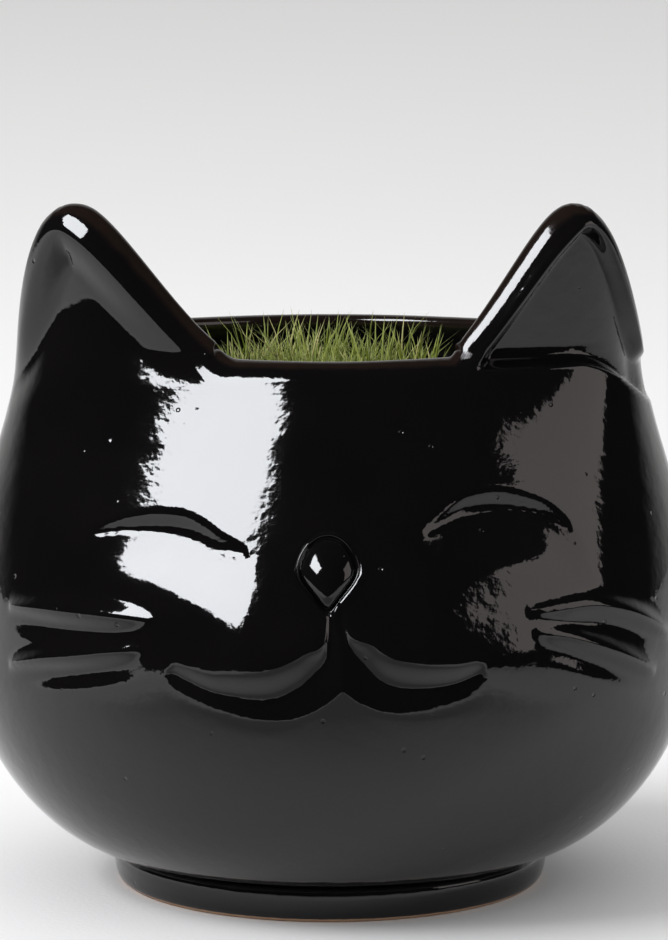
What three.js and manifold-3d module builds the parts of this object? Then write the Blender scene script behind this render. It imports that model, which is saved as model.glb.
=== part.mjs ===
// A cat-face planter in black glazed ceramic, with a small pot of grass standing inside it.
// Millimetres, Z up. The origin is the centre of the foot on the table and the face looks along -Y.
import {
  CylinderGeometry, Group, LatheGeometry, Mesh, MeshStandardMaterial,
  BufferAttribute, BufferGeometry, SphereGeometry, Vector2,
} from 'three';
import { mergeVertices } from 'three/addons/utils/BufferGeometryUtils.js';
import Module from 'manifold-3d';

const wasm = await Module();
wasm.setup();

// Clearance between neighbouring pieces
const gap = 0.3;

// Head: the belly, the opening and the wall
const bellySide = 74;
const bellyFront = 67;
const bellyBack = 69;
const bellyHeight = 47;
const rimHeight = 110.8;
const rimFront = 42;
const cornerReach = 21.4;
const cornerAngle = 82;
const cornerSpread = 34;
const wall = 5.2;
const columns = 80;

// Foot ring
const footHeight = 7.6;
const footTopRadius = 44.6;
const footChamfer = 0.8;
const footTaper = 1.2;
const footWidth = 9;

// Ears: the part of the wall that rises above the rim
// (angles from the front in degrees; the skew sets how far out the tip stands, and the two
// shape powers how full the inner and the outer edge are)
const earLeft = { rise: 28.4, inner: 24, outer: 80.6, skew: 1.87, innerPower: 0.79, outerPower: 0.93 };
const earRight = { rise: 28.6, inner: 32.9, outer: 81.2, skew: 1.26, innerPower: 0.86, outerPower: 1.55 };
const earCut = 1.2;
const earDish = 2.6;

// Face
const muzzleSwell = 2;
const muzzleHeight = 55;
const noseHeight = 73.5;
const noseWidth = 12.3;
const noseTall = 12;
const noseOut = 3.2;
const noseSunk = 1.6;
const grooveDepth = 1.7;
const grooveWidth = 2.6;
const whiskerThick = 2.2;

// Lift-out pot of grass
const linerTopRadius = 30;
const linerBaseRadius = 21.5;
const linerWall = 1.4;
const linerTall = 80;
const linerLip = 2;
const linerFoot = 3;
const soilBelowLip = 8;
const turfThick = 5;
const tuftPitch = 15;
const tuftRadius = 6.6;
const tuftTop = 112;
const tuftCount = 7;

const degree = Math.PI / 180;

function clamp01(value) {
  return Math.min(1, Math.max(0, value));
}

function smooth(value) {
  const t = clamp01(value);
  return t * t * (3 - 2 * t);
}

function bump(value) {
  return Math.exp(-value * value);
}

// Angle from the front of the head, in degrees, the same on both sides
function sideAngle(azimuth) {
  return Math.abs(Math.atan2(Math.sin(azimuth), Math.cos(azimuth))) / degree;
}

function bellyRadius(azimuth) {
  const end = Math.cos(azimuth) > 0 ? bellyFront : bellyBack;
  return bellySide - (bellySide - end) * Math.cos(azimuth) ** 2;
}

// The opening is egg-shaped: narrow at front and back, with a corner under each ear
function rimRadius(azimuth) {
  return rimFront + cornerReach * bump((sideAngle(azimuth) - cornerAngle) / cornerSpread);
}

// Two soft cheeks over the mouth, either side of the middle
function muzzle(azimuth, z) {
  const across = (sideAngle(azimuth) - 15) / 14;
  const front = Math.cos(azimuth) > 0 ? 1 : 0;
  return front * muzzleSwell * bump(across) * bump((z - muzzleHeight) / 11);
}

function wallRadius(azimuth, z) {
  const belly = bellyRadius(azimuth);
  if (z < bellyHeight) {
    const s = clamp01((z - footHeight) / (bellyHeight - footHeight));
    const curve = (1 - (1 - s) ** 1.8) ** 0.62;
    return footTopRadius + (belly - footTopRadius) * curve + muzzle(azimuth, z);
  }
  const t = Math.min(1.07, (z - bellyHeight) / (rimHeight - 4 - bellyHeight));
  const side = Math.sin(azimuth) ** 2;
  const lean = t ** (2 + 1.2 * side) * (3 - 2 * t) ** (0.6 + 0.8 * side);
  return belly + (rimRadius(azimuth) - belly) * lean + muzzle(azimuth, z);
}

function earAt(azimuth) {
  return Math.sin(azimuth) < 0 ? earLeft : earRight;
}

// Share of the way across the ear, from its inner end to its outer end
function earShare(azimuth) {
  const ear = earAt(azimuth);
  return clamp01((sideAngle(azimuth) - ear.inner) / (ear.outer - ear.inner));
}

// Height of the top edge: the rim, and the ears standing above it
function topHeight(azimuth) {
  const ear = earAt(azimuth);
  const s = earShare(azimuth);
  const power = ear.innerPower + (ear.outerPower - ear.innerPower) * s;
  return rimHeight + ear.rise * Math.max(0, Math.sin(Math.PI * s ** ear.skew)) ** power;
}

// The shallow dish in the outer face of each ear
function dish(azimuth, z) {
  const top = topHeight(azimuth);
  const fromEdge = smooth((top - z - 1.5) / 5);
  const fromLedge = smooth((z - rimHeight + 6) / 5);
  const s = earShare(azimuth);
  return earDish * fromEdge * fromLedge * smooth(s / 0.25) * smooth((1 - s) / 0.3);
}

function onWall(azimuth, z, outward) {
  const r = wallRadius(azimuth, z) - dish(azimuth, z) + outward;
  return [r * Math.sin(azimuth), -r * Math.cos(azimuth), z];
}

function vertexGrid(geometry) {
  geometry.deleteAttribute('normal');
  geometry.deleteAttribute('uv');
  return mergeVertices(geometry, 1e-4);
}

function toManifold(geometry) {
  const merged = vertexGrid(geometry);
  const index = merged.index.array;
  const faces = [];
  for (let i = 0; i < index.length; i += 3) {
    const [a, b, c] = [index[i], index[i + 1], index[i + 2]];
    if (a !== b && b !== c && c !== a) faces.push(a, b, c);
  }
  const mesh = new wasm.Mesh({
    numProp: 3,
    vertProperties: new Float32Array(merged.attributes.position.array),
    triVerts: new Uint32Array(faces),
  });
  return new wasm.Manifold(mesh);
}

function toGeometry(solid) {
  const mesh = solid.getMesh();
  const geometry = new BufferGeometry();
  geometry.setAttribute('position', new BufferAttribute(new Float32Array(mesh.vertProperties), 3));
  geometry.setIndex(new BufferAttribute(new Uint32Array(mesh.triVerts), 1));
  return geometry;
}

// A turned solid whose rows are then moved: place(row, azimuth) gives each vertex its position.
// Rows run up the outside and back down the inside, so that the faces look outward.
function turnedGrid(rowCount, columnCount, place) {
  const profile = [];
  for (let row = 0; row < rowCount; row += 1) profile.push(new Vector2(1, row));
  const geometry = new LatheGeometry(profile, columnCount);
  const position = geometry.attributes.position;
  for (let i = 0; i < position.count; i += 1) {
    const azimuth = (2 * Math.PI * Math.floor(i / rowCount)) / columnCount;
    position.setXYZ(i, ...place(i % rowCount, azimuth));
  }
  return geometry;
}

// A plain turned solid about an upright axis
function turned(points, segments = 40) {
  const geometry = new LatheGeometry(points.map(([r, z]) => new Vector2(r, z)), segments);
  return toManifold(geometry.rotateX(Math.PI / 2));
}

// Rows of the head: fixed heights up the bowl, then shares of the way up the rim or the ear
const bowlRows = 12;
const edgeRows = 5;
const lipRows = 3;
const bowlTop = rimHeight - 7;
const lipHeight = wall * 0.45;
const floorHeight = footHeight + wall + 0.6;

function outerHeight(row, azimuth) {
  if (row <= bowlRows) {
    const t = row / bowlRows;
    return footHeight + (bowlTop - footHeight) * (0.6 * t * t + 0.4 * t);
  }
  const end = topHeight(azimuth) - lipHeight;
  return bowlTop + ((end - bowlTop) * (row - bowlRows)) / edgeRows;
}

// A point moved inward from the wall, square to it, by the given depth
function inwardPoint(azimuth, z, depth) {
  const step = 0.5;
  const low = Math.max(footHeight, z - step);
  const slope = wallRadius(azimuth, z + step) - wallRadius(azimuth, low);
  const run = z + step - low;
  const length = Math.hypot(slope, run);
  const r = wallRadius(azimuth, z) - dish(azimuth, z) - (depth * run) / length;
  return [r, z + (depth * slope) / length];
}

// One column of the head as radius and height: under the base, up, over the lip, down, floor
function headColumn(azimuth) {
  const rows = [[0, footHeight], [footTopRadius * 0.6, footHeight]];
  const edgeRow = bowlRows + edgeRows;
  for (let row = 0; row <= edgeRow; row += 1) {
    const z = outerHeight(row, azimuth);
    rows.push([wallRadius(azimuth, z) - dish(azimuth, z), z]);
  }
  const edge = outerHeight(edgeRow, azimuth);
  const middle = wallRadius(azimuth, edge) - wall / 2;
  for (let row = 1; row <= lipRows; row += 1) {
    const angle = (Math.PI * row) / (lipRows + 1);
    rows.push([middle + (wall / 2) * Math.cos(angle), edge + lipHeight * Math.sin(angle)]);
  }
  for (let row = edgeRow; row > 0; row -= row > bowlRows || row < 5 ? 1 : 2) {
    const [r, z] = inwardPoint(azimuth, outerHeight(row, azimuth), wall);
    rows.push([r, Math.max(z, floorHeight)]);
  }
  rows.push([footTopRadius * 0.5, floorHeight], [0, floorHeight]);
  return rows;
}

function aroundAxis(r, azimuth, z) {
  return [r * Math.sin(azimuth), -r * Math.cos(azimuth), z];
}

function headSolid() {
  const rowCount = headColumn(0).length;
  return toManifold(turnedGrid(rowCount, columns, (row, azimuth) => {
    const [r, z] = headColumn(azimuth)[row];
    return aroundAxis(r, azimuth, z);
  }));
}

// The same outside, closed over the top and sunk by a depth: grooves are cut down to it
function sunkenCore(depth) {
  return toManifold(turnedGrid(bowlRows + 3, columns, (row, azimuth) => {
    const closed = row === 0 || row === bowlRows + 2;
    const z = outerHeight(Math.min(bowlRows, Math.max(0, row - 1)), azimuth);
    return aroundAxis(closed ? 0 : wallRadius(azimuth, z) - depth, azimuth, z);
  }));
}

// A band along a line drawn on the face, as a closed block standing through the front wall
function faceBand(line, width) {
  const bars = [];
  for (let i = 0; i < line.length - 1; i += 1) {
    const [x0, z0] = line[i];
    const [x1, z1] = line[i + 1];
    const ends = [[x0, z0], [x1, z1]].map(([x, z]) => {
      const post = new CylinderGeometry(width / 2, width / 2, 60, 10);
      return toManifold(post.translate(x, -50, z));
    });
    bars.push(wasm.Manifold.hull(ends));
  }
  return wasm.Manifold.union(bars);
}

// Points along an arch: a span, a sag in the middle and a tilt from end to end
function archLine(fromX, toX, endZ, rise, tilt, count) {
  const line = [];
  for (let i = 0; i <= count; i += 1) {
    const t = i / count;
    const lift = rise * Math.sin(Math.PI * t) ** 0.8;
    line.push([fromX + (toX - fromX) * t, endZ + lift + tilt * t]);
  }
  return line;
}

function faceGrooves() {
  const eyeLeft = archLine(-44.5, -15.6, 77, 3, -2, 8);
  const eyeRight = archLine(17.3, 44.4, 78, 4, 2, 8);
  const mouthLeft = archLine(-26, -0.5, 53, -5.4, 8, 9);
  const mouthRight = archLine(1.5, 29, 62, -7, -9, 9);
  const philtrum = [[0.5, 60], [0.5, 65.5]];
  const bands = [eyeLeft, eyeRight, mouthLeft, mouthRight, philtrum];
  const all = wasm.Manifold.union(bands.map((line) => faceBand(line, grooveWidth)));
  return all.subtract(sunkenCore(grooveDepth));
}

// The nose is an inverted teardrop: full at the top, drawn in below
function noseSolid(clearance) {
  const ball = new SphereGeometry(1, 18, 12);
  const position = ball.attributes.position;
  const [, frontY] = onWall(0, noseHeight, 0);
  const depth = (noseOut + noseSunk) / 2 + clearance;
  const middleY = frontY - (noseOut - noseSunk) / 2;
  for (let i = 0; i < position.count; i += 1) {
    const up = position.getY(i);
    const drawnIn = 1 - 0.34 * smooth((0.25 - up) / 1.25);
    const x = position.getX(i) * (noseWidth / 2 + clearance) * drawnIn;
    const y = position.getZ(i) * -depth;
    const z = up * (noseTall / 2 + clearance);
    position.setXYZ(i, x, middleY + y + z * 0.3, noseHeight + z);
  }
  return toManifold(ball);
}

// A whisker lies on the wall: its flat back follows the wall and its front is a leaf-shaped ridge
function whiskerSolid([startX, startZ], [endX, endZ], tall) {
  const ball = new SphereGeometry(1, 12, 8);
  ball.rotateZ(Math.PI / 2);
  const side = Math.sign(endX - startX);
  const position = ball.attributes.position;
  for (let i = 0; i < position.count; i += 1) {
    const along = (side * position.getX(i) + 1) / 2;
    const x = startX + (endX - startX) * along;
    const z = startZ + (endZ - startZ) * along + position.getY(i) * (tall / 2) * (1.2 - 0.5 * along);
    const azimuth = Math.asin(x / (wallRadius(0.9 * Math.sign(x), z) + 1));
    const outward = gap + whiskerThick * Math.max(0, position.getZ(i)) * (1 - 0.35 * along);
    position.setXYZ(i, ...onWall(azimuth, z, outward));
  }
  return toManifold(ball);
}

function footSolid() {
  const bottom = footTopRadius - footTaper;
  const inner = footTopRadius - footWidth;
  const top = footHeight - gap;
  return turned([
    [inner, 0.6], [inner + 0.6, 0], [bottom - footChamfer, 0], [bottom, footChamfer],
    [footTopRadius - 0.2, top - 1], [footTopRadius - 0.7, top], [inner - 1.5, top], [inner, 0.6],
  ], 64);
}

// Heights of the lift-out pot, from the floor of the bowl up
const linerBase = floorHeight + gap;
const linerFloor = linerBase + linerFoot;
const linerTop = linerBase + linerTall;
const soilTop = linerTop - soilBelowLip;

function linerRadius(z) {
  return linerBaseRadius + ((linerTopRadius - linerBaseRadius) * (z - linerBase)) / linerTall;
}

function linerSolid() {
  const top = linerTopRadius;
  let pot = turned([
    [0, linerFloor - linerWall], [linerBaseRadius - 4, linerFloor - linerWall],
    [linerBaseRadius - 4, linerBase], [linerBaseRadius, linerBase],
    [linerRadius(linerTop - 6), linerTop - 6], [top + linerLip, linerTop - 6],
    [top + linerLip, linerTop - 0.6], [top + linerLip - 0.6, linerTop],
    [top - linerWall + 0.6, linerTop], [linerRadius(linerTop - 6) - linerWall, linerTop - 6],
    [linerRadius(linerFloor) - linerWall, linerFloor], [0, linerFloor],
  ], 40);
  for (let i = 0; i < 4; i += 1) {
    const angle = i * 90 * degree;
    const hole = new CylinderGeometry(2.5, 2.5, 12, 10).rotateX(Math.PI / 2);
    const at = [Math.cos(angle) * 11, Math.sin(angle) * 11, linerFloor];
    pot = pot.subtract(toManifold(hole.translate(...at)));
    const slot = new CylinderGeometry(2.2, 2.2, 12, 10).rotateZ(Math.PI / 2);
    slot.rotateZ(angle + 45 * degree);
    const side = [Math.cos(angle + 45 * degree), Math.sin(angle + 45 * degree)];
    slot.translate(side[0] * linerBaseRadius, side[1] * linerBaseRadius, linerBase);
    pot = pot.subtract(toManifold(slot));
  }
  return pot;
}

function soilSolid() {
  const fit = linerWall + gap;
  const bottom = linerFloor + gap;
  return turned([
    [0, bottom], [linerRadius(bottom) - fit, bottom],
    [linerRadius(soilTop) - fit, soilTop], [0, soilTop],
  ], 40);
}

function turfSolid() {
  const fit = linerWall + gap;
  const bottom = soilTop + gap;
  const top = bottom + turfThick;
  const rows = 6;
  return toManifold(turnedGrid(rows, 40, (row, azimuth) => {
    const edge = linerRadius(bottom) - fit;
    const wave = 1 + 0.03 * Math.sin(7 * azimuth);
    const radii = [0, edge, edge, edge * 0.93 * wave, edge * 0.5, 0];
    const heights = [bottom, bottom, bottom + 1.5, top - 1, top, top];
    return [radii[row] * Math.sin(azimuth), -radii[row] * Math.cos(azimuth), heights[row]];
  }));
}

// A tuft narrows at the root, spreads and ends in a ragged crown
function tuftSolid(number) {
  const base = soilTop + turfThick + 2 * gap;
  const ring = number === 0 ? 0 : tuftPitch;
  const turn = number * 60 * degree;
  const lean = number === 0 ? 0 : 1.5;
  const tall = tuftTop - base - (number % 3) * 1.2;
  return toManifold(turnedGrid(7, 12, (row, azimuth) => {
    const share = [0, 0.72, 0.86, 0.98, 1, 0.6, 0][row];
    const up = [0, 0, 0.3, 0.65, 0.85, 0.96, 1][row];
    const ragged = row > 2 && row < 6 ? 1 + 0.06 * Math.sin(6 * azimuth + number) : 1;
    const r = tuftRadius * share * ragged;
    const shift = ring + lean * up;
    const x = Math.sin(turn) * shift + r * Math.sin(azimuth);
    const y = Math.cos(turn) * shift - r * Math.cos(azimuth);
    return [x, y, base + tall * up];
  }));
}

const finishes = {
  glaze: { color: 0x0b0a0b, roughness: 0.06, metalness: 0 },
  clay: { color: 0x141113, roughness: 0.2, metalness: 0 },
  plastic: { color: 0x1c1d1f, roughness: 0.6, metalness: 0 },
  soil: { color: 0x3a2a1e, roughness: 0.95, metalness: 0 },
  turf: { color: 0x4b5a2c, roughness: 0.9, metalness: 0 },
  grass: { color: 0x7f9148, roughness: 0.7, metalness: 0 },
};

const group = new Group();

function addPiece(name, solid, finish) {
  const mesh = new Mesh(toGeometry(solid), new MeshStandardMaterial(finishes[finish]));
  mesh.name = name;
  group.add(mesh);
}

const cutHeight = rimHeight + earCut;
const head = headSolid();
const bowlPart = head.trimByPlane([0, 0, -1], -cutHeight);
const earParts = head.trimByPlane([0, 0, 1], cutHeight + gap);

addPiece('head_bowl', bowlPart.subtract(faceGrooves()).subtract(noseSolid(gap)), 'glaze');
addPiece('foot_ring', footSolid(), 'clay');
addPiece('ear_left', earParts.trimByPlane([-1, 0, 0], 1), 'glaze');
addPiece('ear_right', earParts.trimByPlane([1, 0, 0], 1), 'glaze');
addPiece('nose', noseSolid(0), 'glaze');
addPiece('whisker_left_upper', whiskerSolid([-34, 60.5], [-60, 59.5], 5), 'glaze');
addPiece('whisker_left_lower', whiskerSolid([-34.6, 54.5], [-60.5, 50.5], 4.5), 'glaze');
addPiece('whisker_right_upper', whiskerSolid([37.8, 62.5], [63, 56.5], 5), 'glaze');
addPiece('whisker_right_lower', whiskerSolid([39, 57], [61, 46.5], 4.5), 'glaze');
addPiece('liner_pot', linerSolid(), 'plastic');
addPiece('soil_plug', soilSolid(), 'soil');
addPiece('turf_mat', turfSolid(), 'turf');
for (let i = 0; i < tuftCount; i += 1) {
  addPiece(`grass_tuft_${i + 1}`, tuftSolid(i), 'grass');
}

export default group;
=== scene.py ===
import bpy
import math
import numpy as np
from mathutils import Matrix


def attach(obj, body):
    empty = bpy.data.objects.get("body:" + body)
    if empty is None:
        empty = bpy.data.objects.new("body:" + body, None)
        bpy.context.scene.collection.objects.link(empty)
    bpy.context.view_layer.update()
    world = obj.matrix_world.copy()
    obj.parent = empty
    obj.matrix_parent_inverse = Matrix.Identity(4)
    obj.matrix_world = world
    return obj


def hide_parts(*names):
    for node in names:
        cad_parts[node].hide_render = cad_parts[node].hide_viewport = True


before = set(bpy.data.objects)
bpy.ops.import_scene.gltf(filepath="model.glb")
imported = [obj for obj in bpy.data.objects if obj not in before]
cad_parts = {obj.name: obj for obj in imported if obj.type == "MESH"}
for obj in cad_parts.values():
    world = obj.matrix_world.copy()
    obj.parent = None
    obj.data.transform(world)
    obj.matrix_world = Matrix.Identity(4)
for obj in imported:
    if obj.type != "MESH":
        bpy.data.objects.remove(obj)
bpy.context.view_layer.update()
print("frame loaded:", len(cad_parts), "nodes")

millimetre = 0.001
degree = math.pi / 180


def smooth(value):
    # eased step from 0 to 1: 3t^2 - 2t^3 with t held between 0 and 1
    t = np.clip(value, 0, 1)
    return t * t * (3 - 2 * t)


def bump(value):
    # bell curve, 1 in the middle
    return np.exp(-value * value)


def gridFaces(rows, columns, wrap):
    # quads of a grid whose columns run round (wrap) or stop at the last one
    i = np.arange(rows - 1)[:, None]
    j = np.arange(columns if wrap else columns - 1)[None, :]
    k = (j + 1) % columns
    low, high = i * columns, (i + 1) * columns
    return np.stack([low + j, low + k, high + k, high + j], -1).reshape(-1, 4)


def buildMesh(name, points, quads, triangles=None, attributes=None):
    # points in millimetres; quads and triangles as index arrays; attributes as one float a point
    triangles = np.zeros((0, 3), int) if triangles is None else triangles
    mesh = bpy.data.meshes.new(name)
    mesh.vertices.add(len(points))
    mesh.vertices.foreach_set("co", (np.asarray(points, float) * millimetre).ravel())
    corners = np.concatenate([quads.ravel(), triangles.ravel()]).astype(np.int32)
    sizes = np.concatenate([np.full(len(quads), 4), np.full(len(triangles), 3)])
    starts = np.concatenate([[0], np.cumsum(sizes)[:-1]]).astype(np.int32)
    mesh.loops.add(len(corners))
    mesh.loops.foreach_set("vertex_index", corners)
    mesh.polygons.add(len(sizes))
    mesh.polygons.foreach_set("loop_start", starts)
    mesh.update(calc_edges=True)
    for key, values in (attributes or {}).items():
        layer = mesh.attributes.new(key, "FLOAT", "POINT")
        layer.data.foreach_set("value", np.asarray(values, np.float32).ravel())
    mesh.shade_smooth()
    mesh.validate()
    piece = bpy.data.objects.new(name, mesh)
    bpy.context.scene.collection.objects.link(piece)
    return piece


def closedTurn(rowPoints, first, last):
    # grid of rows that run round, closed by a fan at each end; first and last are the end points
    rows, columns = rowPoints.shape[:2]
    points = np.concatenate([rowPoints.reshape(-1, 3), [first], [last]])
    quads = gridFaces(rows, columns, True)
    j = np.arange(columns)
    k = (j + 1) % columns
    low = np.stack([np.full(columns, rows * columns), k, j], -1)
    top = (rows - 1) * columns
    high = np.stack([np.full(columns, rows * columns + 1), top + j, top + k], -1)
    return points, quads, np.concatenate([low, high])


def aroundAxis(radius, azimuth, height):
    # azimuth 0 looks along -Y and grows towards +X
    return np.stack([radius * np.sin(azimuth), -radius * np.cos(azimuth), height + 0 * azimuth * radius], -1)


class Wire:
    # one socket of a shader tree, on which Python arithmetic adds Math nodes
    def __init__(self, finish, socket):
        self.finish = finish
        self.socket = socket

    def sum(self, operation, first, second):
        return self.finish.add("ShaderNodeMath", {"operation": operation}, {0: first, 1: second})

    def __add__(self, other):
        return self.sum("ADD", self, other)

    def __radd__(self, other):
        return self.sum("ADD", other, self)

    def __sub__(self, other):
        return self.sum("SUBTRACT", self, other)

    def __rsub__(self, other):
        return self.sum("SUBTRACT", other, self)

    def __mul__(self, other):
        return self.sum("MULTIPLY", self, other)

    def above(self, edge, width):
        # eased 0 to 1 as the value passes the edge
        settings = {"interpolation_type": "SMOOTHSTEP"}
        ends = {"Value": self, "From Min": edge - width / 2, "From Max": edge + width / 2}
        return self.finish.add("ShaderNodeMapRange", settings, ends)


class Finish:
    # a node tree with one way to add a node: its type, its settings, then its sockets
    def __init__(self, name, tree=None):
        if tree is None:
            self.material = bpy.data.materials.new(name)
            self.material.use_nodes = True
            tree = self.material.node_tree
        self.tree = tree
        self.tree.nodes.clear()

    def add(self, kind, settings=None, sockets=None, out=0):
        node = self.tree.nodes.new(kind)
        for key, value in (settings or {}).items():
            if key == "stops":
                while len(node.color_ramp.elements) < len(value):
                    node.color_ramp.elements.new(1.0)
                for element, (place, colour) in zip(node.color_ramp.elements, value):
                    element.position = place
                    element.color = (*colour, 1)
            else:
                setattr(node, key, value)
        for key, value in (sockets or {}).items():
            if isinstance(value, Wire):
                self.tree.links.new(value.socket, node.inputs[key])
            else:
                node.inputs[key].default_value = value
        return Wire(self, node.outputs[out]) if node.outputs else node

    def mix(self, factor, first, second):
        # colour between two colours
        sockets = {0: factor, 6: first, 7: second}
        return self.add("ShaderNodeMix", {"data_type": "RGBA"}, sockets, 2)

    def place(self):
        return self.add("ShaderNodeTexCoord", out=3)

    def noise(self, scale, detail=2.0, where=None):
        sockets = {"Vector": where or self.place(), "Scale": scale, "Detail": detail}
        return self.add("ShaderNodeTexNoise", {}, sockets)

    def attribute(self, name):
        return self.add("ShaderNodeAttribute", {"attribute_name": name}, out=2)

    def bumped(self, height, distance, strength=1.0):
        return self.add("ShaderNodeBump", {}, {"Height": height, "Distance": distance, "Strength": strength})

    def finishWith(self, sockets):
        shader = self.add("ShaderNodeBsdfPrincipled", {}, sockets)
        self.add("ShaderNodeOutputMaterial", {}, {"Surface": shader})
        return self.material


def dress(piece, material, slotName, body, *nodes):
    # one material, a slot name that is not used, one body, and the CAD nodes it stands for
    piece.data.materials.clear()
    piece.data.materials.append(material)
    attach(piece, body)
    if nodes:
        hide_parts(*nodes)
    return piece


studio = {
    "distance": 0.98, "height": 0.2316, "aside": 0.0008, "pitch": 8.6, "lens": 187.66,
    "floorSize": 9.0, "floorColour": (0.93, 0.93, 0.935),
    # painted shade on the floor: a little darker far behind the object
    "backdrop": (0.725, 0.722, 0.712), "paintedFarShade": (0.85, 0.85, 0.845), "farFrom": (0.05, 1.6),
    # painted shade on the floor: a much darker zone in front of the object, which the lower bowl reflects
    "paintedNearShade": (0.36, 0.36, 0.36), "nearFrom": (-0.18, -0.055), "nearHalf": (0.08, 0.26),
    "roomFront": 0.012, "roomFill": 0.74,
}


def makeCamera(s):
    data = bpy.data.cameras.new("camera")
    data.lens = s["lens"]
    data.sensor_width = 36
    data.clip_start = 0.05
    camera = bpy.data.objects.new("camera", data)
    camera.location = (s["aside"], -s["distance"], s["height"])
    camera.rotation_euler = ((90 - s["pitch"]) * degree, 0, 0)
    bpy.context.scene.collection.objects.link(camera)
    bpy.context.scene.camera = camera


def makeFloor(s):
    # not one colour: painted shade, a little darker far behind, and a much darker painted shadow in a zone in front
    # of the object, which the lower bowl reflects
    half = s["floorSize"] / 2 / millimetre
    corners = [[-half, -half, 0], [half, -half, 0], [half, half, 0], [-half, half, 0]]
    floor = buildMesh("floor", corners, np.array([[0, 1, 2, 3]]))
    finish = Finish("paper floor")
    depth = finish.add("ShaderNodeSeparateXYZ", {}, {0: finish.place()}, 1)
    # painted shade: the floor's colour darkens far behind, in place of light falling off
    near, far = s["farFrom"]
    tint = finish.mix(depth.above((near + far) / 2, far - near), (*s["floorColour"], 1), (*s["paintedFarShade"], 1))
    # painted shade: a much darker zone in front of the object, seen in the lower bowl's reflection
    near, far = s["nearFrom"]
    across = finish.add("ShaderNodeSeparateXYZ", {}, {0: finish.place()}, 0)
    inner, outer = s["nearHalf"]
    beside = (across * across).above((inner ** 2 + outer ** 2) / 2, outer ** 2 - inner ** 2)
    lit = 1 - (1 - depth.above((near + far) / 2, far - near)) * (1 - beside)
    tint = finish.mix(lit, (*s["paintedNearShade"], 1), tint)
    grain = finish.bumped(finish.noise(900, 2), 0.00005)
    floor.data.materials.append(finish.finishWith({"Base Color": tint, "Roughness": 0.85, "Normal": grain}))


def wayTo(azimuth, elevation):
    # unit direction; azimuth 0 looks along -Y and grows towards +X
    flat = math.cos(elevation * degree)
    return np.array([flat * math.sin(azimuth * degree), -flat * math.cos(azimuth * degree),
                     math.sin(elevation * degree)])


def areaLight(name, ends, distance, width, radiance, colour, shine, aim=(0, -0.04, 0.08)):
    # a rectangle facing the object, whose long side joins two directions; its power gives the stated
    # radiance. With shine only reflections see it, without it only matt surfaces are lit
    first, last = wayTo(*ends[0]), wayTo(*ends[1])
    facing = (first + last) / np.linalg.norm(first + last)
    longSide = (last - first) / np.linalg.norm(last - first)
    shortSide = np.cross(longSide, facing)
    data = bpy.data.lights.new(name, "AREA")
    data.shape = "RECTANGLE"
    data.size, data.size_y = width, float(np.linalg.norm(last - first)) * distance
    data.energy = radiance * math.pi * data.size * data.size_y
    data.color = colour
    light = bpy.data.objects.new(name, data)
    light.rotation_euler = Matrix(np.stack([shortSide, longSide, facing], -1).tolist()).to_euler()
    light.location = np.array(aim) + facing * distance
    light.visible_glossy = shine
    light.visible_diffuse = not shine
    light.visible_camera = False
    bpy.context.scene.collection.objects.link(light)


def makeWorld(s):
    # pale to the eye; for reflections the room is dark in front of and beside the object, pale behind it
    world = bpy.data.worlds.new("studio")
    world.use_nodes = True
    bpy.context.scene.world = world
    finish = Finish("studio", world.node_tree)
    way = finish.add("ShaderNodeTexCoord", out=0)
    split = finish.add("ShaderNodeSeparateXYZ", {}, {0: way}, 1)
    behind = split.above(0.55, 0.4)
    path = finish.add("ShaderNodeLightPath", out=0)
    glossy = Wire(finish, path.socket.node.outputs[3])
    pale = (*s["backdrop"], 1)
    dark = (s["roomFront"],) * 3 + (1,)
    fill = (s["roomFill"],) * 3 + (1,)
    seen = finish.mix(behind, dark, pale)
    soft = finish.mix(glossy, fill, seen)
    colour = finish.mix(path, soft, pale)
    shade = finish.add("ShaderNodeBackground", {}, {"Color": colour, "Strength": 1.0})
    finish.add("ShaderNodeOutputWorld", {}, {"Surface": shade})


makeCamera(studio)
makeFloor(studio)
makeWorld(studio)
areaLight("tall softbox", ((-30, 45), (-72, 52)), 0.95, 0.31, 20, (0.94, 0.96, 1.0), True)
areaLight("key for the table", ((-50, 38), (-100, 38)), 3.0, 1.2, 8.6, (0.99, 0.985, 1.0), False)
areaLight("right panel", ((73, 5), (73, 44)), 1.1, 0.52, 1.4, (1.0, 0.92, 0.88), True)
bpy.context.scene.view_settings.view_transform = "Standard"
print("studio ready")


head = {
    "bellySide": 74, "bellyFront": 67, "bellyBack": 69, "bellyHeight": 47,
    "rimHeight": 110.8, "rimFront": 42, "cornerReach": 21.4, "cornerAngle": 82, "cornerSpread": 34,
    "wall": 5.2, "footHeight": 7.6, "footRadius": 44.6, "lipRise": 1.4,
    "rimRoll": (3.8, 2.3), "earRoll": (7.2, 4.6), "earThick": 2.5,
    "muzzleSwell": 2.2, "muzzleHeight": 57, "brow": (94, 16, 1.8),
    "faceFrom": 45, "faceTo": 93, "faceStep": 0.56, "lipRows": 76, "creaseScale": 66,
}

# each ear: its rise over the rim, the angles of its two ends, how far out its tip stands, how full its
# inner and outer edges are, how softly it leaves the rim, and the dish in its face: depth, border on the
# inner and outer side, how fast it deepens, the line under it (height, drop towards the outer end) and
# how softly it begins there
ears = {
    "left": {"rise": 27.99, "inner": 26.4, "outer": 83.8, "skew": 1.759, "powers": (0.735, 1.126), "leave": 3.0,
             "dish": 3.0, "borders": (4.8, 3.9), "blend": 8.0, "ledge": (104, 8.0), "soft": 19.0, "bead": 0.5},
    "right": {"rise": 28.22, "inner": 33.85, "outer": 86.8, "skew": 1.131, "powers": (1.005, 2.5), "leave": 1.2,
              "dish": 3.2, "borders": (4.4, 2.4), "blend": 2.6, "ledge": (107.9, 10.0), "soft": 2.6, "bead": 0.6},
}


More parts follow.
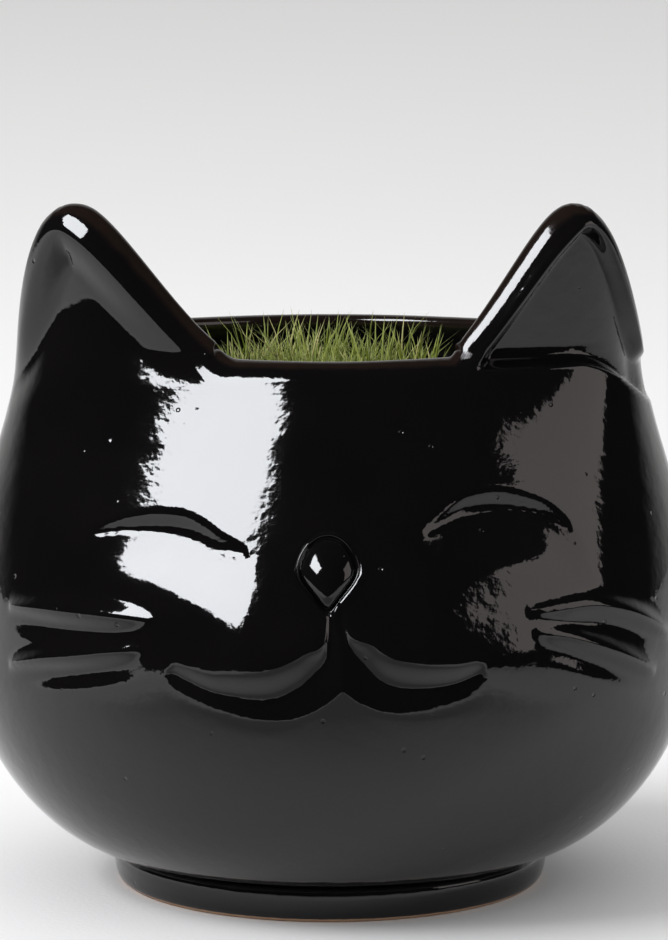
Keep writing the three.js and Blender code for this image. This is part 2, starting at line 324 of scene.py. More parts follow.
def sideAngle(azimuth):
    return np.abs(np.arctan2(np.sin(azimuth), np.cos(azimuth))) / degree


def bellyRadius(azimuth):
    end = np.where(np.cos(azimuth) > 0, head["bellyFront"], head["bellyBack"])
    return head["bellySide"] - (head["bellySide"] - end) * np.cos(azimuth) ** 2


def rimRadius(azimuth):
    corner = bump((sideAngle(azimuth) - head["cornerAngle"]) / head["cornerSpread"])
    return head["rimFront"] + head["cornerReach"] * corner


def wallRadius(azimuth, z):
    # below the belly a quarter-egg curve from the foot, above it a lean in to the egg-shaped rim
    belly = bellyRadius(azimuth)
    s = np.clip((z - head["footHeight"]) / (head["bellyHeight"] - head["footHeight"]), 0, 1)
    low = head["footRadius"] + (belly - head["footRadius"]) * (1 - (1 - s) ** 1.8) ** 0.62
    t = np.clip((z - head["bellyHeight"]) / (head["rimHeight"] - 4 - head["bellyHeight"]), 0, 1.07)
    side = np.sin(azimuth) ** 2
    high = belly + (rimRadius(azimuth) - belly) * t ** (2 + 1.2 * side) * (3 - 2 * t) ** (0.6 + 0.8 * side)
    return np.where(z < head["bellyHeight"], low, high)


def earShare(azimuth, ear):
    # 0 at the ear's inner end, 1 at its outer end
    return (sideAngle(azimuth) - ear["inner"]) / (ear["outer"] - ear["inner"])


def topHeight(azimuth):
    # the rim, and over it each ear as a half wave pushed outwards and raised to a power, its foot eased
    total = 0
    for ear, side in ((ears["left"], -1), (ears["right"], 1)):
        s = np.clip(earShare(azimuth, ear), 0, 1)
        power = ear["powers"][0] + (ear["powers"][1] - ear["powers"][0]) * s
        wave = ear["rise"] * np.maximum(0, np.sin(math.pi * s ** ear["skew"])) ** power
        eased = wave ** 2 / (wave + ear["leave"]) * (ear["rise"] + ear["leave"]) / ear["rise"]
        total = total + eased * (np.sign(np.sin(azimuth)) == side)
    return head["rimHeight"] + total


def innerEdge(azimuth, at):
    # 1 along each ear's thick inner edge, falling to 0 on the rim by the place itself and past the
    # ear's tip by the nearest point of the outline
    total = 0
    for ear, side in ((ears["left"], -1), (ears["right"], 1)):
        s = earShare(azimuth, ear)
        turned = np.clip(earShare(at, ear), 0, 1) ** ear["skew"]
        edge = smooth((s + 0.3) / 0.75) * (1 - smooth((turned - 0.40) / 0.26))
        total = total + edge * (np.sign(np.sin(azimuth)) == side)
    return total


def curveThrough(points, count=90):
    # smooth curve through the points, by cubic pieces whose slopes come from their neighbours
    p = np.asarray(points, float)
    padded = np.concatenate([[2 * p[0] - p[1]], p, [2 * p[-1] - p[-2]]])
    at = np.linspace(0, len(p) - 1 - 1e-9, count)
    i = at.astype(int)
    t = (at - i)[:, None]
    a, b, c, d = padded[i], padded[i + 1], padded[i + 2], padded[i + 3]
    square = (2 * a - 5 * b + 4 * c - d) * t ** 2
    return 0.5 * (2 * b + (c - a) * t + square + (3 * b - a - 3 * c + d) * t ** 3)


def alongCurve(azimuth, z, points, count=90):
    # signed distance in mm to a curve given in degrees and mm, positive on its left, and the share along it
    scale = np.array([head["creaseScale"] * degree, 1])
    curve = curveThrough(points, count) * scale
    here = np.stack([azimuth / degree * scale[0], z], -1).reshape(-1, 2)
    nearest = np.empty(len(here), int)
    for start in range(0, len(here), 20000):
        part = here[start:start + 20000]
        gaps = ((part[:, None] - curve[None]) ** 2).sum(-1)
        nearest[start:start + 20000] = gaps.argmin(1)
    low = np.clip(nearest, 1, len(curve) - 2)
    along = curve[low + 1] - curve[low - 1]
    away = here - curve[nearest]
    side = np.sign(along[:, 0] * away[:, 1] - along[:, 1] * away[:, 0])
    distance = side * np.hypot(away[:, 0], away[:, 1])
    return distance.reshape(azimuth.shape), (nearest / (len(curve) - 1)).reshape(azimuth.shape)


# Lines of the face, in degrees from the front and mm above the table
face = {
    "eyeLeft": [(-47, 77.2), (-42, 78.6), (-38, 79.2), (-34, 79.5), (-30, 79.4), (-26, 78.4), (-22, 77.0),
                (-15.5, 75.6)],
    "eyeRight": [(18.5, 79.0), (23.5, 81.1), (28, 82.8), (32.6, 83.4), (36.9, 83.2), (40.9, 82.3), (44.3, 81.2),
                 (47.6, 78.6)],
    "mouthLeft": [(-27, 53.6), (-20.2, 50.6), (-16.5, 50.0), (-13, 49.8), (-9.3, 50.2), (-5.8, 51.8), (-2.8, 54.2),
                  (-0.9, 57), (-0.2, 60), (0, 63), (0, 67)],
    "mouthRight": [(1.9, 67), (2.1, 63.3), (3.1, 59.9), (4.9, 57), (7.3, 54.2), (10.1, 52.5), (13.7, 51.7),
                   (17.7, 51.5), (21.4, 52.0), (25.5, 53.7)],
    "whiskerLeftUpper": [(-61.5, 61.7), (-54, 62.4), (-46.3, 62.7), (-38, 62.9), (-30.8, 62.9)],
    "whiskerLeftLower": [(-60.5, 50.2), (-52, 52.8), (-44.3, 54.6), (-38.2, 56.1), (-31.8, 57.4)],
    "whiskerRightUpper": [(34.6, 64.0), (42, 64.1), (48, 63.8), (55, 61.6), (61, 58.6), (67, 54.8)],
    "whiskerRightLower": [(35.2, 60.2), (41, 58.9), (46.3, 56.6), (53.4, 53.2), (62, 48.6)],
}


def overhang(azimuth, z, points, shape):
    # above the line the surface rolls in to the crease, below it comes back out slowly into a swell;
    # the lower side fades towards the line's ends along it, or by azimuth where it is windowed
    s, t = alongCurve(azimuth, z, points)
    arch = np.clip(np.sin(math.pi * np.clip(t, 0, 1)), 0, 1)
    taper = arch ** shape["ends"]
    fade = arch ** (shape["ends"] + 1.3 * np.clip(-s / 4, 0, 1))
    if shape["window"]:
        ends = np.array([points[0][0], points[-1][0]])
        offset = (azimuth / degree - ends.mean()) / (abs(ends[1] - ends[0]) / 2 + 1.5)
        fade = np.clip(1 - offset ** 2, 0, 1) ** 1.3
        arch = fade
    narrow = shape["narrow"]
    slim = 1 if narrow is None else 1 - 0.72 * smooth((t - narrow[0]) / (narrow[1] - narrow[0]))
    width = shape["band"] * (0.25 + 0.75 * taper) * slim
    depth = shape["depth"] * (0.4 + 0.6 * slim)
    upper = depth * taper * (1 - smooth(s / width))
    lower = depth * fade * (1 - smooth(-s / shape["recover"]))
    lift = shape["swell"] * bump((s + shape["swellAt"]) / shape["swellWide"]) * arch
    return np.where(s > 0, -upper, lift - lower)


def whisker(azimuth, z, points, height, top, band):
    # a ridge: a slow rise from above to the crest, a steep fall under it and a shallow furrow below
    s, t = alongCurve(azimuth, z, points)
    arch = np.clip(np.sin(math.pi * np.clip(t, 0, 1)), 0, 1)
    taper = arch ** (0.5 + 0.8 * np.clip(np.abs(s) / 3, 0, 1))
    rise = 1 - smooth(s / top)
    fall = 1 - 1.45 * smooth(-s / band) + 0.45 * smooth((-s - band) / 3.5)
    return height * taper * np.where(s > 0, rise, fall)


creases = {
    "eye": {"depth": 1.9, "band": 3.7, "recover": 25, "ends": 0.5, "swell": 0.6, "swellAt": 10, "swellWide": 5,
            "narrow": None, "window": True},
    "mouthLeft": {"depth": 1.9, "band": 4.3, "recover": 7, "ends": 0.3, "swell": 0, "swellAt": 4, "swellWide": 2,
                  "narrow": (0.6, 0.8), "window": False},
    "mouthRight": {"depth": 1.9, "band": 4.3, "recover": 7, "ends": 0.3, "swell": 0, "swellAt": 4, "swellWide": 2,
                   "narrow": (0.38, 0.18), "window": False},
}


# each whisker: its height, how far it rises from above and how far it falls below, in mm
whiskers = {
    "whiskerLeftUpper": (1.5, 4.2, 3.2), "whiskerLeftLower": (1.4, 3.4, 3.2),
    "whiskerRightUpper": (1.2, 3.6, 3.0), "whiskerRightLower": (1.2, 3.2, 3.0),
}


def faceRelief(azimuth, z):
    # millimetres outward from the plain wall
    relief = overhang(azimuth, z, face["eyeLeft"], creases["eye"])
    relief += overhang(azimuth, z, face["eyeRight"], creases["eye"])
    leftLobe = bump((azimuth / degree + 14) / 13) * bump((z - head["muzzleHeight"]) / 11)
    rightLobe = bump((azimuth / degree - 15) / 13) * bump((z - head["muzzleHeight"]) / 11)
    relief += head["muzzleSwell"] * (leftLobe + rightLobe)
    left = overhang(azimuth, z, face["mouthLeft"], creases["mouthLeft"])
    right = overhang(azimuth, z, face["mouthRight"], creases["mouthRight"])
    relief += np.minimum(left, right)
    for line, sizes in whiskers.items():
        relief += whisker(azimuth, z, face[line], *sizes)
    # the forehead leans back a little more towards the rim
    start, span, lean = head["brow"]
    relief -= lean * np.clip((z - start) / span, 0, 1.1) ** 2 * smooth((80 - sideAngle(azimuth)) / 40)
    # a pit that the nose piece fills
    relief -= nose["pit"] * smooth((1.2 - noseShare(azimuth, z)) / 0.16)
    return np.where(np.cos(azimuth) > 0, relief, 0)


nose = {
    "height": 72.4, "width": 11.4, "tall": 12.4, "out": 3.0, "angle": -0.4, "columns": 128, "degreeWide": 1.13,
    "pit": 1.7, "root": 2.6, "groove": 0.45, "ridge": 0.34, "skirt": 1.5,
}


def noseHalfWidth(v):
    # inverted teardrop: full above, drawn in below
    return nose["width"] / 2 * (1 - 0.62 * smooth((1.4 - v) / 8.6))


def noseShare(azimuth, z):
    # 0 in the middle of the nose, 1 on its outline
    u = (azimuth / degree - nose["angle"]) * nose["degreeWide"]
    v = z - nose["height"]
    return np.hypot(u / noseHalfWidth(v), v / (nose["tall"] / 2))


def edgeGap(azimuth, z):
    # distance in mm to the top edge of the bowl and ears, and that edge's azimuth there
    gap = np.full(z.shape, 99.0)
    at = np.array(azimuth)
    near = z > head["rimHeight"] - 16
    angles = np.linspace(-116, 116, 930)
    outline = np.stack([angles, topHeight(angles * degree)], -1)
    distance, along = alongCurve(azimuth[near], z[near], outline, 1400)
    gap[near] = np.abs(distance)
    at[near] = (angles[0] + (angles[-1] - angles[0]) * along) * degree
    return gap, at


def edgeShape(azimuth, z):
    # the roll of the lip and of the ears' thick inner edges, and the dish in each ear's outer face,
    # as millimetres outward; the back of the rim keeps the plain roll
    gap, at = edgeGap(azimuth, z)
    behind = sideAngle(azimuth) > 110
    gap = np.where(behind, topHeight(azimuth) - z, gap)
    thick = np.where(behind, 0, innerEdge(azimuth, at))
    width = head["rimRoll"][0] + (head["earRoll"][0] - head["rimRoll"][0]) * thick
    depth = head["rimRoll"][1] + (head["earRoll"][1] - head["rimRoll"][1]) * thick
    # shallower where an ear's outer end runs down into the side
    depth = depth * (1 - 0.7 * bump((sideAngle(at) - 84) / 13))
    # quarter ellipse: depth times (1 - sqrt(1 - q^2)), q running from 0 to 1 at the edge
    q = np.clip(1 - gap / width, 0, 0.985)
    shape = -depth * (1 - np.sqrt(1 - q * q))
    for ear, side in ((ears["left"], -1), (ears["right"], 1)):
        share = earShare(azimuth, ear)
        turned = np.clip(earShare(at, ear), 0, 1) ** ear["skew"]
        border = ear["borders"][0] + (ear["borders"][1] - ear["borders"][0]) * smooth((turned - 0.36) / 0.3)
        low = ear["ledge"][0] - ear["ledge"][1] * smooth((share - 0.5) / 0.5)
        above = smooth((z - low) / ear["soft"])
        inEar = (np.sin(azimuth) * side > 0) * smooth((share + 0.1) / 0.3) * smooth((1.06 - share) / 0.22)
        dish = ear["dish"] * smooth((gap - border) / ear["blend"])
        bead = ear["bead"] * bump((gap - border * 0.92) / (border * 0.3)) * thick
        shape += (bead - dish) * above * inEar
    return shape


def headColumns():
    # azimuths in degrees: finest beside the nose, close across the face, wider at the sides and back
    parts = [np.arange(-84, -68, 1.0), np.arange(-68, -5, 0.5), np.arange(-5, 5, 0.25),
             np.arange(5, 68, 0.5), np.arange(68, 84, 1.0), np.arange(84, 276, 3.0)]
    return np.concatenate(parts) * degree


def lowerRows():
    low = head["footHeight"] + (head["faceFrom"] - head["footHeight"]) * np.linspace(0, 1, 25)[:-1] ** 1.25
    mid = np.arange(head["faceFrom"], head["faceTo"], head["faceStep"])
    high = np.linspace(head["faceTo"], head["rimHeight"] - 6, 14)
    return np.concatenate([low, mid, high])


def makeHead():
    azimuth = headColumns()
    fixed = lowerRows()
    top = topHeight(azimuth)
    base = fixed[-1]
    shares = np.linspace(0, 1, head["lipRows"] + 1)[1:]
    shares = 0.4 * shares + 0.6 * smooth(shares)
    rising = base + (top - head["lipRise"] - base)[None, :] * shares[:, None]
    height = np.concatenate([np.repeat(fixed[:, None], len(azimuth), 1), rising])
    around = np.repeat(azimuth[None, :], len(height), 0)
    plain = aroundAxis(wallRadius(around, height), around, height)
    # outward direction of the plain wall, from the grid itself
    across = np.roll(plain, -1, 1) - np.roll(plain, 1, 1)
    normal = np.cross(across, np.gradient(plain, axis=0))
    normal /= np.linalg.norm(normal, axis=-1, keepdims=True)
    relief = faceRelief(around, height)
    edge = edgeShape(around, height)
    outside = plain + normal * (relief + edge)[..., None]
    # inside: the plain wall moved in square to itself, further behind the ears' inner edges
    keep = np.concatenate([np.arange(5, len(fixed), 9), np.arange(len(fixed), len(height), 7),
                           [len(height) - 1]])
    thick = innerEdge(around[keep], around[keep]) * smooth((height[keep] - head["rimHeight"] + 14) / 14)
    inside = plain[keep] - normal[keep] * (head["wall"] + head["earThick"] * thick)[..., None]
    floorHeight = head["footHeight"] + head["wall"] + 0.6
    inside[..., 2] = np.maximum(inside[..., 2], floorHeight)
    # lip: a cubic curve that leaves along the outer surface and lands down the inner one
    first, last = outside[-1], inside[-1]
    leave = outside[-1] - outside[-2]
    leave /= np.linalg.norm(leave, axis=-1, keepdims=True)
    arrive = inside[-1] - inside[-2]
    arrive /= np.linalg.norm(arrive, axis=-1, keepdims=True)
    reach = head["lipRise"] * 1.75 + 0.12 * np.linalg.norm(last - first, axis=-1, keepdims=True)
    t = np.linspace(0, 1, 11)[1:-1, None, None]
    overLip = ((1 - t) ** 3 * first + 3 * t * (1 - t) ** 2 * (first + leave * reach)
               + 3 * t ** 2 * (1 - t) * (last + arrive * reach) + t ** 3 * last)
    edgeRing = aroundAxis(np.full(len(azimuth), head["footRadius"] * 0.5), azimuth, floorHeight)
    underRing = aroundAxis(np.full(len(azimuth), head["footRadius"] * 0.6), azimuth, head["footHeight"])
    rows = np.concatenate([underRing[None], outside, overLip, inside[::-1], edgeRing[None]])
    # where the glaze runs thin: along the lip, the ears' edges and the sharp turns of the face
    thin = np.zeros(rows.shape[:2])
    count = len(outside)
    slope = np.arctan(np.gradient(top, azimuth) / head["creaseScale"])
    gap = np.clip(top[None] - height, 0, None) * np.cos(slope)
    turn = np.abs(relief - np.roll(relief, 3, 0))
    thin[1:count + 1] = np.maximum(bump(gap / 3.0) ** 2, 0.35 * smooth((turn - 0.5) / 0.6))
    thin[count + 1:count + 1 + len(overLip)] = 1
    points, quads, caps = closedTurn(rows, (0, 0, head["footHeight"]), (0, 0, floorHeight))
    return buildMesh("glazed_head", points, quads, caps, {"thin": np.concatenate([thin.ravel(), [0, 0]])})


def glazeFinish(name, bare=False):
    finish = Finish(name)
    place = finish.place()
    thin = finish.attribute("thin")
    broken = finish.noise(320, 4, place)
    edge = (thin * 0.9 + (broken - 0.5) * 0.5).above(0.72, 0.5)
    deep = finish.mix(finish.noise(60, 3, place), (0.0022, 0.002, 0.0024, 1), (0.0048, 0.0042, 0.0044, 1))
    colour = finish.mix(edge * 0.45, deep, (0.022, 0.013, 0.009, 1))
    peel = finish.noise(260, 2, place)
    fine = finish.noise(1100, 2, place)
    spread = {"Vector": place, "Scale": 210.0, "Randomness": 1.0}
    cells = finish.add("ShaderNodeTexVoronoi", {"feature": "F1"}, spread)
    pin = 1 - cells.above(0.085, 0.06)
    chance = finish.noise(95, 1, place).above(0.55, 0.04)
    height = peel * 1.0 + fine * 0.16 - pin * chance * 1.6
    normal = finish.bumped(height, 0.00007)
    rough = 0.035 + finish.noise(45, 3, place) * 0.03 + edge * 0.05
    sockets = {"Base Color": colour, "Roughness": rough, "Normal": normal, "IOR": 1.5}
    if bare:
        clay = finish.attribute("clay")
        mask = (clay + (broken - 0.5) * 0.25).above(0.5, 0.12)
        buff = finish.mix(finish.noise(500, 4, place), (0.30, 0.17, 0.10, 1), (0.46, 0.30, 0.19, 1))
        sockets["Base Color"] = finish.mix(mask, colour, buff)
        sockets["Roughness"] = rough * (1 - mask) + mask * 0.75
    return finish.finishWith(sockets)


glaze = glazeFinish("black glaze")
headPiece = dress(makeHead(), glaze, "glaze", "pot", "head_bowl", "ear_left", "ear_right",
                  "whisker_left_upper", "whisker_left_lower", "whisker_right_upper", "whisker_right_lower")
print("head:", len(headPiece.data.polygons), "faces")


def makeNose():
    # a dome on an inverted teardrop plan, a thin groove round it, a thin ridge, and a skirt that
    # goes down into the pit; share of the outline against millimetres outward
    share = np.concatenate([np.linspace(0.02, 0.93, 40), np.linspace(0.945, 1.34, 34)])[::-1]
    turn = np.linspace(0, 2 * math.pi, nose["columns"], endpoint=False)
    s, t = np.meshgrid(share, turn, indexing="ij")
    v = s * np.sin(t) * nose["tall"] / 2
    u = s * np.cos(t) * noseHalfWidth(v)
    azimuth = (u / nose["degreeWide"] + nose["angle"]) * degree
    z = nose["height"] + v
    # dome: out times (1 - 0.9 share^2)^0.62 less its value on the outline
    dome = nose["out"] * (np.clip(1 - 0.9 * s ** 2, 0, 1) ** 0.62 - 0.1 ** 0.62)
    groove = -nose["groove"] * bump((s - 1.02) / 0.045)
    ridge = nose["ridge"] * bump((s - 1.14) / 0.06)
    skirt = -nose["skirt"] * smooth((s - 1.19) / 0.15)
    out = np.where(s < 1, dome, 0) + groove + ridge + skirt
    front = aroundAxis(wallRadius(azimuth, z) + out, azimuth, z)
    back = aroundAxis(wallRadius(azimuth[:1], z[:1]) - nose["root"], azimuth[:1], z[:1])
    rows = np.concatenate([back, front])
    middle = float(wallRadius(np.array(nose["angle"] * degree), np.array(nose["height"])))
    peak = middle + nose["out"] * (1 - 0.1 ** 0.62)
    tip = aroundAxis(np.array(peak), np.array(nose["angle"] * degree), nose["height"])
    root = aroundAxis(np.array(middle - nose["root"]), np.array(nose["angle"] * degree), nose["height"])
    points, quads, caps = closedTurn(rows, root, tip)
    return buildMesh("glazed_nose", points, quads, caps, {"thin": np.zeros(len(points))})


dress(makeNose(), glaze, "glaze", "pot", "nose")
print("nose ready")


foot = {"radius": 44.6, "taper": 1.2, "width": 9, "columns": 220}


def makeFoot():
    # profile as radius and height, up the outside, over the top and down the inside
    bottom = foot["radius"] - foot["taper"]
    inner = foot["radius"] - foot["width"]
    profile = np.array([
        (inner + 1.2, 0.25), (inner + 2.2, 0), (bottom - 2.5, 0), (bottom - 1.0, 0.12), (bottom - 0.3, 0.6),
        (bottom + 0.1, 1.3), (bottom + 0.5, 2.8), (bottom + 0.75, 4.6), (bottom + 0.8, 5.8), (bottom + 0.5, 6.6),
        (bottom - 0.1, 7.1), (bottom - 0.8, 7.3), (inner - 1.5, 7.3), (inner - 0.6, 5), (inner, 2.5),
        (inner + 0.4, 0.9)])
    # how much bare clay shows at each of those points
    clay = np.array([1, 1, 1, 0.95, 0.62, 0.1, 0, 0, 0, 0, 0, 0, 0, 0, 0.2, 0.7])
    azimuth = np.linspace(0, 2 * math.pi, foot["columns"], endpoint=False)
    radius = np.repeat(profile[:, :1], len(azimuth), 1)
    rows = aroundAxis(radius, np.repeat(azimuth[None], len(profile), 0), profile[:, 1:])
    rows = np.concatenate([rows, rows[:1]])
    points = rows[:-1].reshape(-1, 3)
    quads = gridFaces(len(rows), len(azimuth), True) % len(points)
    return buildMesh("glazed_foot_ring", points, quads, None,
                     {"thin": np.zeros(len(points)), "clay": np.repeat(clay, len(azimuth))})


dress(makeFoot(), glazeFinish("glaze over buff clay", True), "glazed_foot", "pot", "foot_ring")
print("foot ready")

liner = {
    "topRadius": 30, "baseRadius": 21.5, "wall": 1.4, "base": 13.7, "tall": 80, "rim": 2, "rimDrop": 6, "foot": 3,
    "recess": 4, "slotRadius": 2.2, "slotLength": 12, "columns": 144,
}


def linerRadius(z):
    return liner["baseRadius"] + (liner["topRadius"] - liner["baseRadius"]) * (z - liner["base"]) / liner["tall"]


def roundedProfile(corners, radius=0.35):
    # each corner of a radius and height profile turned into three points on a small curve
    p = np.asarray(corners, float)
    before, after = np.roll(p, 1, 0) - p, np.roll(p, -1, 0) - p
    before /= np.linalg.norm(before, axis=1, keepdims=True)
    after /= np.linalg.norm(after, axis=1, keepdims=True)
    middle = p + (before + after) * radius * 0.29
    return np.stack([p + before * radius, middle, p + after * radius], 1).reshape(-1, 2)


def makeLiner():
    # a tapered pot turned as one closed ring, with its floor disc and four drain slots
    base, top = liner["base"], liner["base"] + liner["tall"]
    under = base + liner["foot"]
    rimFoot = top - liner["rimDrop"]
    corners = [
        (liner["baseRadius"] - liner["recess"], under - liner["wall"]), (liner["baseRadius"] - liner["recess"], base),
        (liner["baseRadius"], base), (linerRadius(rimFoot), rimFoot), (liner["topRadius"] + liner["rim"], rimFoot),
        (liner["topRadius"] + liner["rim"], top), (liner["topRadius"] - liner["wall"] + 0.6, top),
        (linerRadius(rimFoot) - liner["wall"], rimFoot), (linerRadius(under) - liner["wall"], under)]
    profile = roundedProfile(corners)
    # extra rings up the wall, so that light ribs can be raised in it
    climb = np.linspace(0.02, 0.98, 60)[:, None]
    outerWall = profile[8] + (profile[9] - profile[8]) * climb
    profile = np.concatenate([profile[:9], outerWall, profile[9:]])
    azimuth = np.linspace(0, 2 * math.pi, liner["columns"], endpoint=False)
    radius = np.repeat(profile[:, :1], len(azimuth), 1)
    height = np.repeat(profile[:, 1:], len(azimuth), 1)
    onWall = (np.arange(len(profile)) > 9) & (np.arange(len(profile)) < 68)
    hoops = 0.28 * bump((height - top + 16) / 0.9) + 0.28 * bump((height - base - 12) / 0.9)
    radius = radius + onWall[:, None] * hoops
    rows = aroundAxis(radius, np.repeat(azimuth[None], len(profile), 0), height)
    points, quads, caps = closedTurn(rows, (0, 0, under - liner["wall"]), (0, 0, under))
    pot = buildMesh("liner_pot_fine", points, quads, caps)
    for turn in range(4):
        angle = turn * math.pi / 2 + math.pi / 4
        across = np.linspace(0, 2 * math.pi, 24, endpoint=False)
        reach = np.array([-0.5, 0.5]) * liner["slotLength"] + liner["baseRadius"]
        ring = np.stack(np.broadcast_arrays(reach[:, None], liner["slotRadius"] * np.cos(across)[None],
                                            liner["base"] + liner["slotRadius"] * np.sin(across)[None]), -1)
        x = ring[..., 0] * math.cos(angle) - ring[..., 1] * math.sin(angle)
        y = ring[..., 0] * math.sin(angle) + ring[..., 1] * math.cos(angle)
        ring = np.stack([x, y, ring[..., 2]], -1)
        ends = ring.mean(1)
        cutter = buildMesh("cutter", *closedTurn(ring, ends[0], ends[1]))
        cut = pot.modifiers.new("slot", "BOOLEAN")
        cut.operation = "DIFFERENCE"
        cut.solver = "EXACT"
        cut.object = cutter
        bpy.context.view_layer.update()
        ready = bpy.data.meshes.new_from_object(pot.evaluated_get(bpy.context.evaluated_depsgraph_get()))
        pot.modifiers.clear()
        pot.data = ready
        bpy.data.objects.remove(cutter)
    return pot


def linerFinish():
    # moulded brown-black plastic with a fine grain and dusty scuffs near the foot
    finish = Finish("liner plastic")
    place = finish.place()
    height = finish.add("ShaderNodeSeparateXYZ", {}, {0: place}, 2)
    scuffs = finish.noise(160, 5, place).above(0.62, 0.12) * (1 - height.above(0.05, 0.06))
    base = finish.mix(finish.noise(40, 3, place), (0.022, 0.017, 0.014, 1), (0.034, 0.026, 0.021, 1))
    colour = finish.mix(scuffs * 0.5, base, (0.11, 0.085, 0.065, 1))
    grain = finish.bumped(finish.noise(2400, 2, place), 0.00003)
    rough = 0.42 + finish.noise(70, 3, place) * 0.16 + scuffs * 0.25
    return finish.finishWith({"Base Color": colour, "Roughness": rough, "Normal": grain, "IOR": 1.5})


dress(makeLiner(), linerFinish(), "liner", "insert", "liner_pot")
print("liner ready")


def soilFinish():
    # dark crumbly compost with pale specks
    finish = Finish("compost")
    place = finish.place()
    lumps = finish.noise(700, 6, place)
    specks = finish.add("ShaderNodeTexVoronoi", {"feature": "F1"}, {"Vector": place, "Scale": 620.0})
    base = finish.mix(lumps, (0.012, 0.008, 0.005, 1), (0.060, 0.038, 0.022, 1))
    colour = finish.mix((1 - specks.above(0.16, 0.05)) * 0.6, base, (0.23, 0.18, 0.12, 1))
    relief = finish.bumped(lumps + finish.noise(1800, 3, place) * 0.4, 0.0009)
    return finish.finishWith({"Base Color": colour, "Roughness": 0.92, "Normal": relief})


compost = soilFinish()
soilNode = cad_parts["soil_plug"]
soilNode.data.materials.clear()
soilNode.data.materials.append(compost)
weld = soilNode.modifiers.new("join", "WELD")
weld.merge_threshold = 0.00001
print("soil ready")

turf = {"bottom": 86.3, "thick": 4.7, "edgeRadius": 27.4, "rings": 60, "columns": 150, "lump": 0.9}


def makeTurf():
    # a thin mat with a lumpy top, from rings of points whose height is a sum of waves
    azimuth = np.linspace(0, 2 * math.pi, turf["columns"], endpoint=False)
    inward = np.linspace(1.0, 0.02, turf["rings"]) ** 0.8
    radius = np.concatenate([[0.5, 0.98, 1.0, 1.0], inward]) * turf["edgeRadius"]
    share = np.concatenate([[0, 0, 0.05, 0.4], 1 - 0.45 * np.linspace(1, 0, turf["rings"]) ** 14])
    r, a = np.meshgrid(radius, azimuth, indexing="ij")
    x, y = r * np.sin(a), -r * np.cos(a)
    waves = (np.sin(x * 0.9 + 1.3 * np.sin(y * 0.7)) + np.sin(y * 1.1 + 1.7 * np.sin(x * 0.6 + 2))
             + 0.6 * np.sin(x * 2.3 + y * 1.9) + 0.5 * np.sin(x * 3.1 - y * 2.7 + 1)) / 3.1
    top = (np.arange(len(radius)) > 3)[:, None]
    z = turf["bottom"] + share[:, None] * turf["thick"] - top * turf["lump"] * (0.5 + 0.5 * waves)
    rows = np.stack([x, y, z], -1)
    points, quads, caps = closedTurn(rows, (0, 0, turf["bottom"]), (0, 0, rows[-1, :, 2].mean()))
    return buildMesh("turf_mat_fine", points, quads, caps)


def turfFinish():
    # moss and dead stems over soil
    finish = Finish("turf")
    place = finish.place()
    clumps = finish.noise(260, 5, place)
    stretched = finish.add("ShaderNodeMapping", {}, {"Vector": place, "Scale": (900.0, 900.0, 240.0)})
    fibres = finish.add("ShaderNodeTexNoise", {}, {"Vector": stretched, "Scale": 1.0, "Detail": 4.0})
    ground = finish.mix(fibres, (0.018, 0.016, 0.007, 1), (0.085, 0.075, 0.03, 1))
    moss = finish.mix(fibres, (0.03, 0.055, 0.010, 1), (0.13, 0.18, 0.04, 1))
    colour = finish.mix(clumps.above(0.46, 0.16), ground, moss)
    relief = finish.bumped(fibres + clumps * 0.8, 0.0008)
    return finish.finishWith({"Base Color": colour, "Roughness": 0.9, "Normal": relief})


dress(makeTurf(), turfFinish(), "turf", "insert", "turf_mat")
print("turf ready")

grass = {
    "root": 90.2, "tufts": 7, "pitch": 15, "spread": 8.6, "blades": 300, "levels": 5, "width": (0.42, 0.85),
    "thick": 0.16, "tops": (98, 106, 110.5), "strayShare": 0.16, "strayTops": (107, 115), "lean": (4, 30),
    "reach": 28.0, "rootReach": 24.5, "sidewaysMost": 12, "heldBack": 0.25, "curl": (1.3, 2.6), "sway": 0.5,
    "twist": 0.9,
}


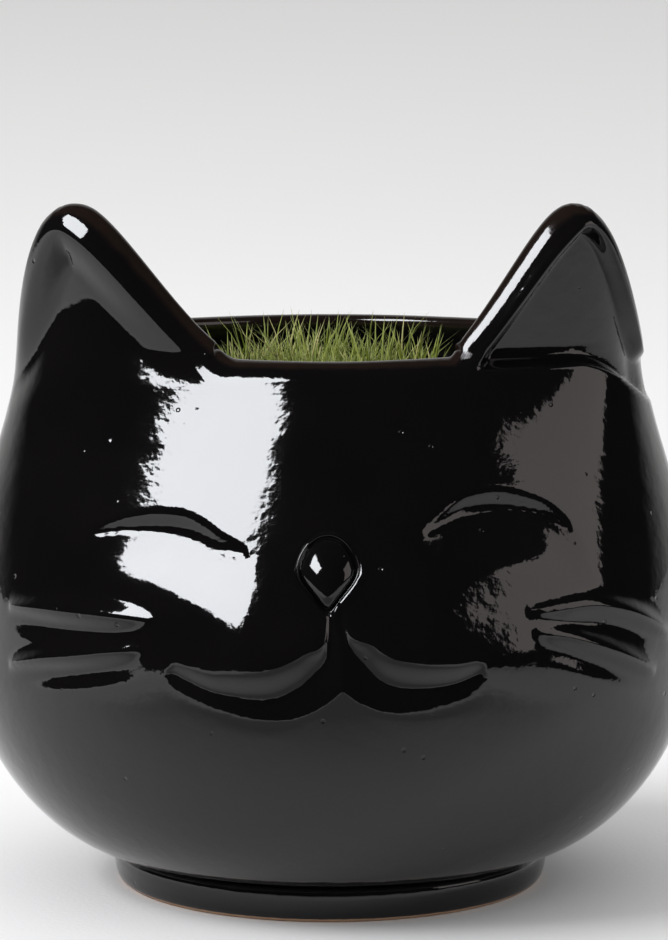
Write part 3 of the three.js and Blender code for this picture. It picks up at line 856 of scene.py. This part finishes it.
def makeTuft(number):
    # thin closed blades: a triangle drawn along a bending line to a point
    draw = np.random.default_rng(40 + number)
    count = grass["blades"]
    turn = number * math.pi / 3
    pitch = grass["pitch"] if number else 0
    centre = np.array([math.sin(turn), math.cos(turn)]) * pitch
    angle = draw.uniform(0, 2 * math.pi, count)
    out = (grass["spread"] * np.sqrt(draw.uniform(0, 1, count)))[:, None]
    root = centre + out * np.stack([np.cos(angle), np.sin(angle)], -1)
    far = np.linalg.norm(root, axis=1, keepdims=True)
    root = root * np.minimum(1, grass["rootReach"] / np.maximum(far, 1e-6))
    heading = draw.uniform(0, 2 * math.pi, count)
    heading = np.stack([np.cos(heading), np.sin(heading)], -1)
    lean = draw.uniform(*grass["lean"], count) * degree
    stray = draw.uniform(0, 1, count) < grass["strayShare"]
    tops = draw.triangular(*grass["tops"], count)
    tops = np.where(stray, draw.uniform(*grass["strayTops"], count), tops)
    rise = tops - grass["root"]
    sideways = np.minimum(rise * np.tan(lean), grass["sidewaysMost"])
    tip = root + heading * sideways[:, None]
    tipFar = np.linalg.norm(tip, axis=1)
    sideways = np.where(tipFar > grass["reach"], sideways * grass["heldBack"], sideways)
    t = np.linspace(0, 1, grass["levels"] + 1)[:-1]
    curl = draw.uniform(*grass["curl"], count)[:, None]
    sway = draw.normal(0, grass["sway"], (count, 1)) * np.sin(math.pi * t)[None]
    across = np.stack([-heading[:, 1], heading[:, 0]], -1)
    out = sideways[:, None] * t[None] ** curl
    plan = root[:, None] + heading[:, None] * out[..., None] + across[:, None] * sway[..., None]
    z = grass["root"] + rise[:, None] * (1 - (1 - t[None]) ** 1.15)
    line = np.concatenate([plan, z[..., None]], -1)
    half = draw.uniform(*grass["width"], count)[:, None] / 2 * (1 - t[None] ** 2.2) ** 0.8
    twist = draw.uniform(-grass["twist"], grass["twist"], count)
    wide = across * np.cos(twist)[:, None] + heading * np.sin(twist)[:, None]
    wide3 = np.concatenate([wide, np.zeros((count, 1))], -1)[:, None] * half[..., None]
    across = np.stack([-wide[:, 1], wide[:, 0], 0.3 + 0 * wide[:, 0]], -1)[:, None]
    crease = across * grass["thick"] * (1 - t[None] ** 2)[..., None]
    corners = np.stack([line - wide3, line + wide3, line + crease], 2)
    tips = np.concatenate([root + heading * sideways[:, None], (grass["root"] + rise)[:, None]], -1)
    size = 3 * grass["levels"] + 1
    points = np.concatenate([corners.reshape(count, -1, 3), tips[:, None]], 1).reshape(-1, 3)
    i = np.arange(grass["levels"] - 1)[:, None] * 3
    j = np.arange(3)[None]
    k = (j + 1) % 3
    quads = np.stack([i + j, i + k, i + 3 + k, i + 3 + j], -1).reshape(-1, 4)
    last = 3 * (grass["levels"] - 1)
    caps = np.concatenate([np.stack([last + j[0], last + k[0], np.full(3, size - 1)], -1), [[0, 2, 1]]])
    start = (np.arange(count) * size)[:, None, None]
    along = np.concatenate([np.repeat(t, 3), [1.0]])
    values = {"along": np.tile(along, count), "tone": np.repeat(draw.uniform(0, 1, count), size)}
    return buildMesh("grass_tuft_" + str(number + 1) + "_fine", points, (start + quads[None]).reshape(-1, 4),
                     (start + caps[None]).reshape(-1, 3), values)


def grassFinish():
    # dark at the root as painted shade among the blades, fresh green, paler at the tip; some blades yellow or dry
    finish = Finish("grass")
    place = finish.place()
    along, tone = finish.attribute("along"), finish.attribute("tone")
    fresh = finish.mix(tone, (0.13, 0.20, 0.012, 1), (0.38, 0.43, 0.05, 1))
    dry = finish.mix(finish.noise(300, 2, place), (0.42, 0.40, 0.11, 1), (0.58, 0.54, 0.25, 1))
    blade = finish.mix(tone.above(0.86, 0.04), fresh, dry)
    tipped = finish.mix(along.above(0.85, 0.4) * 0.4, blade, (0.60, 0.62, 0.30, 1))
    # painted shade: blades darken towards their roots, where the tuft shades them
    rootShaded = finish.mix(along.above(0.28, 0.5), (0.016, 0.026, 0.006, 1), tipped)
    streak = finish.noise(2600, 2, place)
    colour = finish.mix(streak * 0.2, rootShaded, (0.06, 0.10, 0.010, 1))
    relief = finish.bumped(streak, 0.00004)
    return finish.finishWith({"Base Color": colour, "Roughness": 0.48 + tone * 0.12, "Normal": relief,
                              "IOR": 1.4})


blades = grassFinish()
for number in range(grass["tufts"]):
    dress(makeTuft(number), blades, "grass", "insert", "grass_tuft_" + str(number + 1))
print("grass ready")
